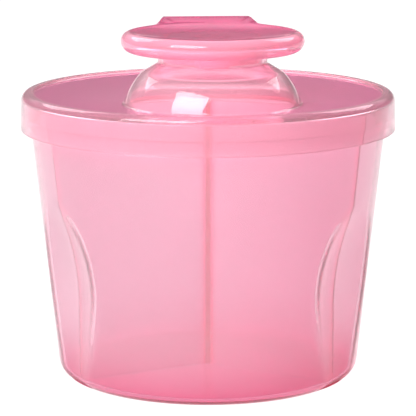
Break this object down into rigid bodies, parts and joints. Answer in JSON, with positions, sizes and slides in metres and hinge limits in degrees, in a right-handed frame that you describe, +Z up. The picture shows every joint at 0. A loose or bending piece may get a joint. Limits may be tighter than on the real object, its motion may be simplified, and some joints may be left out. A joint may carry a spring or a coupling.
{
  "type": "formula dispenser",
  "caption": "Round tinted tub for powdered formula with fluted tapered walls, a lift-out divider, a turning lid with a domed pouring spout and a mushroom plug cap with a thumb tab.",
  "frame": {"origin": "centre of the flat base, on the surface the tub stands on", "axes": "+Z up along the axis of the tub and of the lid's turning; -Y is the front, over which the spout stands apart from a small turn of the lid; +X to the right seen from the front"},
  "size_m": [0.114, 0.114, 0.1087],
  "materials": {
    "tub_plastic": "clear pink tinted, polished",
    "divider_plastic": "pink tinted, satin translucent",
    "lid_plastic": "clear pink tinted, polished",
    "cap_plastic": "pink tinted, polished translucent"
  },
  "bodies": {
    "tub": {"tub": "tub_plastic"},
    "divider": {"divider_insert": "divider_plastic"},
    "lid": {"lid": "lid_plastic"},
    "cap": {"spout_cap": "cap_plastic"}
  },
  "joints": [
    {"name": "divider_lift", "type": "slide", "parent": "tub", "child": "divider", "axis": [0, 0, 1], "range_m": [0, 0.095]},
    {"name": "lid_turn", "type": "hinge", "parent": "divider", "child": "lid", "pos_m": [0, 0, 0.085], "axis": [0, 0, 1], "continuous": true},
    {"name": "cap_lift", "type": "slide", "parent": "lid", "child": "cap", "axis": [0, 0, 1], "range_m": [0, 0.03]}
  ]
}
